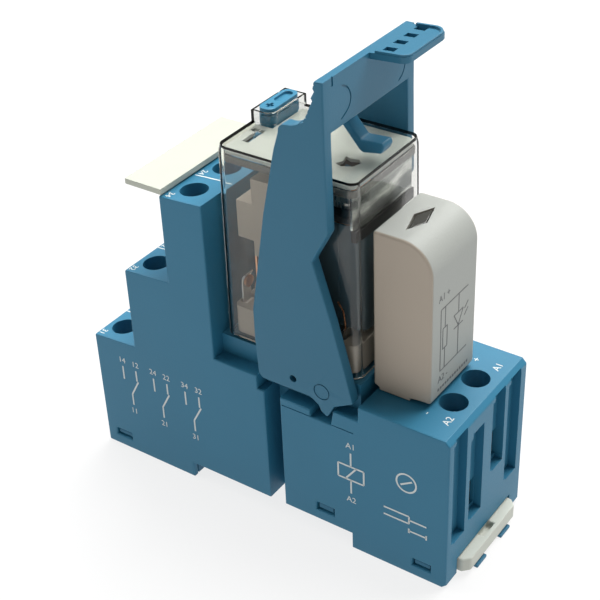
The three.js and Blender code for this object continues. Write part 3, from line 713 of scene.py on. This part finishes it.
def step_height(tier, x):
    """How high a step's sloping top is at x."""
    screw = centre_of(f"terminal_screw_{tier}_2")
    screw_top = corners_of(f"terminal_screw_{tier}_2")[1].z
    return screw_top + HEAD_DEPTH + (x - screw.x) * TIER_SLOPE


def step_prints():
    """Terminal numbers beside the screw holes, and the lines between the poles."""
    pieces = []
    for tier, numbers in TERMINAL_NUMBERS.items():
        x = centre_of(f"terminal_screw_{tier}_2").x
        for index, number in enumerate(numbers):
            y = (index - 1) * POLE_PITCH
            at = (x - 2.7, y - 3.2, step_height(tier, x - 2.7))
            pieces.append(lettering("number", number, NUMBER_SIZE, at, (0, -1, 0), (1, 0, TIER_SLOPE)))
        for y in (-POLE_PITCH / 2, POLE_PITCH / 2):
            left, right = x - 3.4, x + 4.4
            low, high = step_height(tier, left), step_height(tier, right)
            side = [(left, low - 0.05), (right, high - 0.05), (right, high + 0.03), (left, low + 0.03)]
            pieces.append(prism("divider", side, "Y", y - 0.13, y + 0.13))
    return pieces


def coil_block_prints():
    top = corners_of("terminal_screw_a1")[1].z + HEAD_DEPTH
    pieces = []
    for text, x, y in (("A1", 33.9, 8.6), ("A2", 33.9, -8.6), ("+", 29.8, 8.6), ("-", 29.8, -8.6)):
        pieces.append(lettering("coil_mark", text, COIL_MARK_SIZE, (x, y, top), (0, 1, 0), (-1, 0, 0)))
    return pieces


def wall_print(outline, side):
    """An outline in X and Z, printed on the near (-1) or far (1) wall."""
    depth = sorted((side * (SIDE - 0.02), side * (SIDE + PRINT_LIFT)))
    return prism("print", outline, "Y", *depth)


def changeover_symbol(x, z):
    """The usual drawing of a changeover contact, as strokes."""
    return [
        [(x, z), (x, z + 2.6)],
        [(x, z + 2.6), (x + 1.9, z + 6.1)],
        [(x + 1.6, z + 8.6), (x + 1.6, z + 6.2)],
        [(x - 1.6, z + 8.6), (x - 1.6, z + 5.6)],
    ]


def coil_symbol(x, z):
    return [
        [(x, z), (x, z + 3)],
        [(x - 2.6, z + 3), (x + 2.6, z + 3)],
        [(x + 2.6, z + 3), (x + 2.6, z + 6)],
        [(x + 2.6, z + 6), (x - 2.6, z + 6)],
        [(x - 2.6, z + 6), (x - 2.6, z + 3)],
        [(x - 1.1, z + 3), (x + 1.1, z + 6)],
        [(x, z + 6), (x, z + 9)],
    ]


def wire_symbol(x, z):
    """A stripped wire with its measure below."""
    return [
        [(x, z), (x + 5, z)],
        [(x, z + 1.6), (x + 5, z + 1.6)],
        [(x + 5, z), (x + 5, z + 1.6)],
        [(x + 5, z + 0.8), (x + 8.4, z + 0.8)],
        [(x + 5, z - 1.6), (x + 8.4, z - 1.6)],
        [(x + 5, z - 2.1), (x + 5, z - 1.1)],
        [(x + 8.4, z - 2.1), (x + 8.4, z - 1.1)],
    ]


def wall_prints():
    """Generic wiring drawings on both long walls."""
    strokes = []
    for x in SYMBOL_COLUMNS:
        strokes += changeover_symbol(x, 8.4)
    strokes += coil_symbol(18, 9.5) + wire_symbol(24.6, 8.2)
    ring = arc((29, 17), 1.9, 0, 360, 28)
    strokes += [ring, [(27.9, 16.3), (30.1, 17.7)]]
    labels = [(f"{index + 1}1", x, 6.9) for index, x in enumerate(SYMBOL_COLUMNS)]
    labels += [("A2", 18, 8), ("A1", 18, 20)]
    for index, x in enumerate(SYMBOL_COLUMNS):
        labels.append((f"{index + 1}4", x - 1.6, 18.4))
        labels.append((f"{index + 1}2", x + 1.6, 18.4))
    pieces = []
    for side in (-1, 1):
        pieces += [wall_print(stroke(points, WALL_LINE), side) for points in strokes]
        for text, x, z in labels:
            at = (x, side * SIDE, z)
            pieces.append(lettering("wall_mark", text, NUMBER_SIZE, at, (-side, 0, 0), (0, 0, 1)))
    return pieces


def make_spring_contact(name, x, y, top):
    """A bent strip in the socket that grips one pin from both sides."""
    bend, half = 20.2, 0.66  # where the strip turns back, and half its width there
    left = [(x - 0.68, top), (x - 0.55, top - 1.3), (x - half, top - 4), (x - half, bend)]
    right = [(2 * x - u, v) for u, v in reversed(left)]
    path = left + arc((x, bend), half, 190, 350, 8) + right
    strip = prism(name, stroke(path, 0.2), "Y", y - 1.3, y + 1.3)
    finish(smooth(strip), "contact_brass", "socket")


def make_spring_contacts():
    for kind, x in PIN_X.items():
        for index in (-1, 0, 1):
            y = index * RELAY_POLE_PITCH
            make_spring_contact(f"spring_contact_{kind}_{index + 2}", x, y, RELAY_SPRING_TOP)
    coil_x, coil_y = COIL_PIN
    make_spring_contact("spring_contact_coil_near", coil_x, -coil_y, RELAY_SPRING_TOP)
    make_spring_contact("spring_contact_coil_far", coil_x, coil_y, RELAY_SPRING_TOP)
    for index, (x, y) in enumerate(MODULE_PINS):
        make_spring_contact(f"spring_contact_module_{index + 1}", x, y, MODULE_SPRING_TOP)


# ---------- terminals ----------
def thread(name, core, crest, pitch, low, high, sides=24):
    """A rolled thread: a grid round the axis whose radius follows the helix."""
    work = bmesh.new()
    rows_per_turn = 6
    rows = round((high - low) / pitch * rows_per_turn)
    rings = []
    for row in range(rows + 1):
        z = low + (high - low) * row / rows
        ring = []
        for k in range(sides):
            turn = (z / pitch - k / sides) % 1
            radius = core + (crest - core) * (1 - abs(2 * turn - 1))
            angle = 2 * math.pi * k / sides
            corner = Vector((radius * math.cos(angle), radius * math.sin(angle), z))
            ring.append(work.verts.new(corner * MM))
        rings.append(ring)
    for here, there in zip(rings, rings[1:]):
        for k in range(sides):
            m = (k + 1) % sides
            work.faces.new((here[k], here[m], there[m], there[k]))
    work.faces.new(rings[0])
    work.faces.new(rings[-1])
    return from_bmesh(name, work)


def screw_template(length):
    """A cheese-head screw on its own origin, under the head: slot, cross recess, thread and dog point."""
    rim = [(0, -0.3), (1.3, -0.3), (1.3, 0), (2.05, 0), (2.2, 0.15)]
    rim += [(2.2, 1.85), (2.0, 2.1), (0, HEAD_HEIGHT)]
    head = lathe("head", rim, (0, 0, 0))
    shank = thread("shank", 1.22, 1.5, 0.7, -length + 0.5, -0.1)
    tip, neck = -length, -length + 0.8
    profile = [(0, tip), (0.9, tip), (1.1, tip + 0.2), (1.1, neck), (0, neck)]
    point = lathe("point", profile, (0, 0, 0), steps=32)
    screw = weld(head, shank, point)
    slot = block("slot", (-3, 3), (-0.35, 0.35), (1.2, 3))
    cross = block("cross", (-0.3, 0.3), (-1.4, 1.4), (1.2, 3))
    return smooth(carve(screw, slot, cross), 32)


def make_terminals():
    templates = {}
    for node in [name for name in NODES if name.startswith("terminal_screw")]:
        low, high = corners_of(node)
        length = round(high.z - HEAD_HEIGHT - low.z, 2)
        if length not in templates:
            templates[length] = screw_template(length)
        screw = new_object(node + "_detail", templates[length].data.copy())
        middle = (low + high) / 2
        moved(screw, (middle.x, middle.y, high.z - HEAD_HEIGHT))
        replace_node(screw, node)
    for template in templates.values():
        discard(template)
    for node in [name for name in NODES if name.startswith("terminal_clamp")]:
        clamp = copy_of(node)
        low, high = corners_of(node)
        jaw = low.z + 0.9
        spacing = 0.8
        grooves = []
        for k in range(5):
            x = low.x + spacing + spacing * k
            notch = [(x - 0.15, jaw + 0.05), (x + 0.15, jaw + 0.05), (x, jaw - 0.25)]
            grooves.append(prism("groove", notch, "Y", low.y + 0.9, high.y - 0.9))
        replace_node(soften(carve(clamp, *grooves), 0.14), node)


# ---------- retaining clip ----------
def clip_cutters():
    """What is cut into the clip: peg rings, serrations, two curved lines and the grip's round corner."""
    x, z = PIVOT
    cutters = []
    for side in (-1, 1):
        face = CLIP_SHIFT + side * CLIP_FACE
        # The ring round the peg, pressed into the arm's outer face.
        low, high = sorted((face - side * 0.2, face + side * 0.5))
        ring = [(1.38, low), (1.6, low), (1.6, high), (1.38, high)]
        cutters.append(lathe("ring", ring, (x, 0, z), "Y"))
        # Fine serrations down the shoulder's back edge, for a fingernail.
        depth = sorted((face - side * 2.4, face + side * 0.5))
        for index, back in enumerate((12.6, 12.5, 12.25, 12.15, 11.9, 11.6, 11.35, 11.0, 10.5)):
            level = 85.25 - 0.8 * index
            notch = [(back - 0.7, level - 0.5), (back - 0.7, level + 0.5), (back + 0.3, level)]
            cutters.append(prism("serration", notch, "Y", *depth))
    # Two curved lines pressed into the bridge's front face.
    near_arc = [(-8.1, 83.6), (-6.6, 82.6), (-5.8, 80.9), (-6.5, 79.3), (-8.5, 78.2)]
    far_arc = [(10.1, 81.4), (9.8, 79.7), (9.1, 78.6), (7.9, 77.9)]
    for path in (near_arc, far_arc):
        line = stroke(smooth_route(path, 6), 0.28)
        cutters.append(prism("arc", line, "X", BRIDGE_FRONT - 0.2, BRIDGE_FRONT + 0.5))
    cutters.append(block("notch", (BRIDGE_FRONT - 0.2, BRIDGE_FRONT + 0.5), (-10.9, -10.5), (84.4, 87)))
    # The grip's near corner is round.
    corner = [(19.6, -1.6), (22, -1.6), (22, 0.8)] + arc((19.6, 0.8), 1.4, 0, -90, 6)
    cutters.append(prism("corner", corner, "Z", 84, 88))
    return cutters


def on_clip_outline(a, b):
    """The outline of each arm, the bridge and the finger, but not the small teeth or the finger's root."""
    across = [abs(end.y - CLIP_SHIFT) for end in (a, b)]
    on_bridge = all(abs(end.x - BRIDGE_BACK) < 0.05 for end in (a, b))
    root = on_bridge and max(across) < FINGER_HALF + 0.1
    if root or (a - b).length < 0.5:
        return False
    faces = (CLIP_FACE, CLIP_FACE - ARM_THICKNESS, FINGER_HALF)
    return all(min(abs(place - face) for face in faces) < 0.05 for place in across)


def make_clip():
    clip = soften(copy_of("retaining_clip"), 0.28, clamp=False, chosen=on_clip_outline)
    replace_node(smooth(carve(clip, *clip_cutters())), "retaining_clip")
    # A low rim round the thumb grip's outer edge.
    path = [(15.2, -0.3), (19.4, -0.3)] + arc((19.5, 0.9), 1.2, -80, 0, 6) + [(20.7, 8.6)]
    path += arc((18.4, 9.5), 2.3, 0, 90, 7) + [(15.2, 11.8)]
    heel = prism("grip_rim", stroke(path, 0.45), "Z", GRIP_TOP - 0.7, GRIP_TOP + 0.25)
    slope = [(14, 86.3), (23, 86.85), (23, 90), (14, 90)]
    rim = carve(heel, prism("slope", slope, "Y", -2, 13))
    finish(soften(rim, 0.1), "clip_blue", "retaining_clip")


# ---------- relay ----------
def make_contact_strip(kind, number, facing):
    """A pin whose thin upright strip bends over at the top and carries a copper rivet."""
    node = f"contact_{kind}_{number}"
    low, high = corners_of(node)
    x, y = PIN_X[kind], (low.y + high.y) / 2
    back = x - facing * 0.3
    route = [(back, 36), (back - facing * 0.12, 39), (back, 41.6)]
    route += [(back + facing * 0.4, 42.5), (x + facing * 0.36, 42.75)]
    upright = prism("upright", stroke(smooth_route(route, 4), 0.3), "Y", y - 1.15, y + 1.15)
    pin = block("pin", (x - 0.4, x + 0.4), (y - 1.2, y + 1.2), (low.z, 37))
    strip = soften(weld(pin, upright), 0.08)
    strip.name = node + "_detail"
    replace_node(strip, node, "contact_silver")
    centre = (0, y, high.z - 1.6)
    tail = [(0, back - facing * 0.5), (0.5, back - facing * 0.45), (0.8, back - facing * 0.2)]
    tail += [(0.8, back), (0, back)]
    face = x + facing * 0.7
    dome = [(0, back), (1.1, back + facing * 0.3), (1.1, face - facing * 0.25)]
    dome += [(0.75, face - facing * 0.06), (0, face)]
    halves = [lathe("tail", tail, centre, "X", 28), lathe("dome", dome, centre, "X", 32)]
    finish(smooth(joined(node + "_rivet", halves)), "contact_copper", "relay")


def make_contacts():
    for number in (1, 2, 3):
        make_contact_strip("no", number, 1)
        make_contact_strip("nc", number, -1)
        dress(f"contact_common_{number}", 0.1)
        dress(f"moving_contact_{number}", 0.08, material="contact_copper")
        make_braid(number)


def make_braid(number):
    """The flexible copper lead from a moving blade over the fixed contact to the common stub."""
    y = centre_of(f"moving_contact_{number}").y
    route = [(-3.95, 46.9), (-3.3, 47.1), (-1.7, 47.2), (-0.3, 46.6), (0.7, 45.2), (1.0, 43.4), (1.0, 41.1)]
    count, lay, twist = 5, 0.24, 0.55  # strands, their distance from the middle, their turn per step
    strands = []
    for strand in range(count):
        angle = 2 * math.pi * strand / count
        points = []
        for index, (x, z) in enumerate(smooth_route(route, 5)):
            turn = angle + index * twist
            points.append((x, y + lay * math.cos(turn), z + lay * math.sin(turn)))
        strands.append(tube("strand", points, 0.15, 6))
    braid = finish(joined(f"contact_braid_{number}", strands), "copper_wire")
    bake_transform(braid)


def smooth_route(points, steps):
    """A Catmull-Rom curve through the points."""
    path = [Vector(point) for point in points]
    path = [path[0] * 2 - path[1]] + path + [path[-1] * 2 - path[-2]]
    result = []
    for a, b, c, d in zip(path, path[1:], path[2:], path[3:]):
        for k in range(steps):
            t = k / steps
            bend = (2 * a - 5 * b + 4 * c - d) * t * t + (3 * b - a - 3 * c + d) * t ** 3
            result.append((2 * b + (c - a) * t + bend) / 2)
    result.append(path[-2])
    return [tuple(point) for point in result]


def helix(centre, radius, low, high, turns, steps=14):
    x, y = centre
    count = round(turns * steps)
    points = []
    for i in range(count + 1):
        angle = 2 * math.pi * i / steps
        z = low + (high - low) * i / count
        points.append((x + radius * math.cos(angle), y + radius * math.sin(angle), z))
    return points


def make_coil():
    dress("coil_bobbin", 0.15)
    dress("coil_core", 0.2)
    # The winding: turns lying side by side.
    low, high = corners_of("coil_winding")
    pitch = (high.z - low.z) / COIL_TURNS
    profile = [(4.1, high.z), (4.1, low.z)]
    for turn in range(COIL_TURNS):
        z = low.z + pitch * turn
        profile += [(5.24, z), (5.36, z + pitch * 0.25), (5.4, z + pitch * 0.5), (5.36, z + pitch * 0.75)]
    winding = smooth(lathe("coil_winding_detail", profile, (COIL_X, 0, 0)), 75)
    replace_node(winding, "coil_winding")
    # The dark tape wrapped over it, square like the bobbin's cheeks, with its seam.
    outer = rounded(4.95, 16.42, -6.32, 6.32, 1.5, 8)
    inner = rounded(5.1, 16.27, -6.17, 6.17, 1.4, 8)
    low_cheek, high_cheek = 38.95, 58.45
    tape = prism("coil_tape", outer, "Z", low_cheek, high_cheek)
    hollow = prism("hollow", inner, "Z", 38, 59)
    finish(soften(carve(tape, hollow), 0.05), "coil_tape", "relay")
    seam = block("coil_tape_seam", (8.2, 11.9), (-6.42, -6.3), (44.5, 58.3))
    finish(soften(seam, 0.04), "coil_tape", "relay")
    coil_x, coil_y = COIL_PIN
    for side, name in BOTH_SIDES:
        dress(f"coil_pin_{name}", 0.12)
        lead = [(coil_x, side * coil_y, 38.6), (coil_x, side * coil_y, 40)]
        lead += [(coil_x - 0.4, side * 6.6, 42), (coil_x - 1.6, side * 6.5, 43.5)]
        finish(tube(f"coil_lead_{name}", lead, 0.16, 8), "copper_wire", "relay")


def make_shield():
    """The bright, slightly wavy sheet on the relay's coil side, folded at its near edge, on a black rail."""
    wave = [(16.33 + 0.07 * math.sin(y * 0.9) + 0.04 * math.sin(y * 2.3), y) for y in range(-8, 9)]
    path = [(15.75, -8.7), (16.1, -8.75)] + wave
    sheet = prism("coil_shield", stroke(path, 0.14), "Z", 59.6, 66.2)
    finish(smooth(sheet, 50), "foil", "relay")
    rail = block("shield_rail", (15.6, 16.6), (-8.6, 8.6), (57.2, 59.3))
    finish(soften(rail, 0.2), "black_plastic", "relay")


def make_flag_well():
    """The short black chimney under the flag's window."""
    outer = prism("flag_well", rounded(9.7, 14.3, -5.3, -0.9, 1), "Z", 66.05, 66.9)
    window = [(10.2, -4.55), (11.6, -4.9), (13.3, -4.1), (13.9, -2.3)]
    window += [(12.9, -1.4), (11.6, -1.8), (10.4, -1.5), (10.8, -3.2)]
    well = carve(outer, prism("window", window, "Z", 65, 68))
    finish(smooth(well), "black_plastic", "relay")


def make_shade_band():
    """A dark grey band inside the cover just under the lid, painted shade for the dark edge of the lid's
    thick roof, open where the test button slides.
    """
    rim = prism("cover_shade_band", rounded(-8.6, 16.8, -9.25, 9.25, 1.1), "Z", 65.5, 66.75)
    hollow = prism("hollow", rounded(-8.2, 16.45, -8.85, 8.85, 0.8), "Z", 65, 67)
    near = corners_of("test_button")[0].y
    doorway = block("doorway", (-10, BUTTON_RIGHT + 0.2), (near - 0.2, 10), (65, 67))
    finish(soften(carve(rim, hollow, doorway), 0.1), "shade_band_grey", "relay")


def make_return_springs():
    """Small tension springs that hold the armature's leg back against the yoke."""
    x, half = PULL_SPRING
    for side, name in BOTH_SIDES:
        y = side * half
        points = [(x, y, 41.8), (x + 0.2, y, 42.8)] + helix((x, y), 0.42, 43.4, 49.2, 11)
        points += [(x + 0.2, y, 49.8), (x, y - side * 0.25, 50.6)]
        spring = finish(tube(f"return_spring_{name}", points, 0.11, 6), "plated_steel")
        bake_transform(spring)


def make_button():
    low, high = corners_of("test_button")
    button = copy_of("test_button")
    left, right, top = low.x, BUTTON_RIGHT, high.z
    # A long hollow in the far half of the key's top, and a waist below its head.
    hollow = prism("hollow", rounded(left + 0.65, right - 0.65, 4.1, 8.3, 0.8), "Z", top - 0.45, top + 1)
    ring = prism("ring", rounded(left - 1, right + 1, -1, 11, 1.2), "Z", top - 1.35, top - 1.15)
    keep = prism("keep", rounded(left + 0.2, right - 0.2, 0.8, 8.8, 1.1), "Z", top - 2.35, top - 0.15)
    waist = carve(ring, keep)
    replace_node(soften(carve(button, hollow, waist), 0.2), "test_button")


def make_relay():
    make_contacts()
    make_coil()
    make_shield()
    make_flag_well()
    make_shade_band()
    make_return_springs()
    make_button()
    for node in ("relay_base", "contact_carrier"):
        dress(node, 0.25)
    for node in ("yoke", "armature", "status_flag"):
        dress(node, 0.15)
    dress("relay_top_plate", 0.1, material="plate_white")
    dress("relay_cover", 0.08)


# ---------- coil module ----------
def make_module():
    near, far = (corner.y for corner in corners_of("module_case"))
    foot = 29.7  # edges below this stay sharp

    def on_outline(a, b):
        ends = [min(abs(end.y - near), abs(end.y - far)) < 0.05 for end in (a, b)]
        return all(ends) and min(a.z, b.z) > foot

    case = soften(copy_of("module_case"), 0.5, 3, clamp=False, chosen=on_outline)
    replace_node(case, "module_case", "module_cream")
    for node in ("module_base", "module_board"):
        dress(node, 0.15)
    dress("module_lens", 0.12)
    dress("module_led", 0.2, 3)
    for node in ("module_pin_1", "module_pin_2"):
        dress(node, 0.15)
    make_module_print()
    make_module_parts()


def make_module_print():
    """A generic drawing of a resistor and a lamp across the coil, in grey ink on the module's outer wall."""
    face = corners_of("module_case")[1].x
    wall = (face - 0.02, face + PRINT_LIFT)
    strokes = [
        [(-4.6, 47), (4.2, 47)],
        [(-4.6, 35), (4.2, 35)],
        [(-4.6, 47), (-4.6, 35)],
        [(-3.2, 47), (-3.2, 43)],
        [(-3.9, 43), (-2.5, 43)],
        [(-2.5, 43), (-2.5, 39)],
        [(-2.5, 39), (-3.9, 39)],
        [(-3.9, 39), (-3.9, 43)],
        [(-3.2, 39), (-3.2, 35)],
        [(1.2, 47), (1.2, 43.4)],
        [(-0.3, 43.4), (2.7, 43.4)],
        [(-0.3, 43.4), (1.2, 40.8)],
        [(2.7, 43.4), (1.2, 40.8)],
        [(-0.3, 40.8), (2.7, 40.8)],
        [(1.2, 40.8), (1.2, 35)],
        [(3.2, 42.9), (4.4, 43.9)],
        [(3.2, 41.6), (4.4, 42.6)],
    ]
    pieces = [prism("line", stroke(points, MODULE_LINE), "X", *wall) for points in strokes]
    ticks = [[(-5.2 + 0.8 * k, 31.4), (-4.75 + 0.8 * k, 31.4)] for k in range(13)]
    pieces += [prism("tick", stroke(points, 0.5), "X", *wall) for points in ticks]
    for text, y, z in (("A1 +", -3.6, 49.2), ("A2 -", -3.6, 33.3)):
        at = (face, y, z)
        pieces.append(lettering("module_mark", text, MODULE_MARK_SIZE, at, (0, 1, 0), (0, 0, 1)))
    ink("module_print", pieces, "grey_print", "module")


def make_module_parts():
    """The resistor, the diode and the lamp's legs on the module's board."""
    face = centre_of("module_board").x - 0.9
    half = [(0.55, 1.1), (0.62, 1.5), (0.55, 1.7), (0, 1.7)]
    body = [(radius, -level) for radius, level in reversed(half)] + half
    parts = (("resistor", -2.2, 47, "cream_plastic"), ("diode", 2.4, 43, "black_plastic"))
    for name, y, z, material in parts:
        part = smooth(lathe(f"module_{name}", body, (face - 0.1, y, z), "Z", 24))
        finish(part, material, "module")
        legs = [(face + 0.3, y, z - 3), (face, y, z - 2.6), (face, y, z + 2.6), (face + 0.3, y, z + 3)]
        finish(tube(f"module_{name}_legs", legs, 0.18, 8), "plated_steel", "module")
    for side in (-1, 1):
        legs = [(23.5, side * 0.6, 56.4), (23.6, side * 0.8, 55.6), (face + 0.2, side * 1.1, 54.8)]
        finish(tube(f"module_lamp_leg_{(side + 3) // 2}", legs, 0.18, 8), "plated_steel", "module")


# ---------- scene ----------
make_camera()
make_floor(cad_box[0][2])
make_lights()

make_housing()
dress("socket_base")
dress("rail_clip", 0.4, 3, material="rail_white")
dress("marker_tag", 0.12)
ink("socket_print", step_prints() + coil_block_prints() + wall_prints(), "white_print", "socket")
make_spring_contacts()
make_terminals()
make_clip()
make_relay()
make_module()
